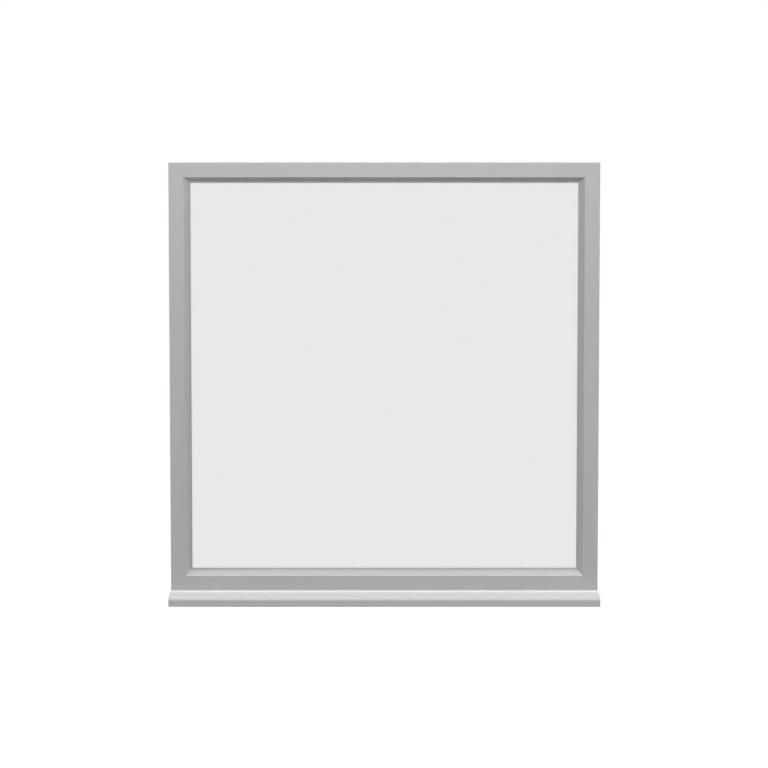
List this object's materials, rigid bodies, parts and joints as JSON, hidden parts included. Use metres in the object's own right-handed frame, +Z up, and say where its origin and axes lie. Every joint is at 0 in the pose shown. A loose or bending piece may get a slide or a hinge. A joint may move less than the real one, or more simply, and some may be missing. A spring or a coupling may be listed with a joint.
{
  "type": "fixed window",
  "caption": "Square painted timber window: a fixed light glazed straight into a splayed frame with one double-glazed unit, on a projecting sill with a sloping top.",
  "frame": {"origin": "middle of the overall box, on the sill's underside", "axes": "+Z up, -Y towards the outside (the front, where the sill projects), +X to the right seen from outside"},
  "size_m": [1.206, 0.157, 1.237],
  "materials": {
    "painted_timber": "satin grey paint",
    "painted_sill": "satin grey paint",
    "painted_bead": "satin grey paint",
    "outer_glass": "clear, polished",
    "inner_glass": "clear, polished",
    "gasket": "matt grey",
    "spacer": "matt grey foam",
    "edge_seal": "matt black",
    "sealant": "satin white",
    "setting_block": "matt black",
    "bead_screw": "satin steel"
  },
  "bodies": {
    "root": {"bottom_bead": "painted_bead", "bottom_edge_seal": "edge_seal", "bottom_inner_gasket": "gasket", "bottom_outer_gasket": "gasket", "bottom_rail": "painted_timber", "bottom_spacer": "spacer", "head": "painted_timber", "inner_pane": "inner_glass", "left_bead": "painted_bead", "left_edge_seal": "edge_seal", "left_inner_gasket": "gasket", "left_jamb": "painted_timber", "left_outer_gasket": "gasket", "left_setting_block": "setting_block", "left_spacer": "spacer", "outer_pane": "outer_glass", "right_bead": "painted_bead", "right_edge_seal": "edge_seal", "right_inner_gasket": "gasket", "right_jamb": "painted_timber", "right_outer_gasket": "gasket", "right_setting_block": "setting_block", "right_spacer": "spacer", "sill": "painted_sill", "sill_sealant": "sealant", "top_bead": "painted_bead", "top_edge_seal": "edge_seal", "top_inner_gasket": "gasket", "top_outer_gasket": "gasket", "top_spacer": "spacer"}
  },
  "joints": []
}
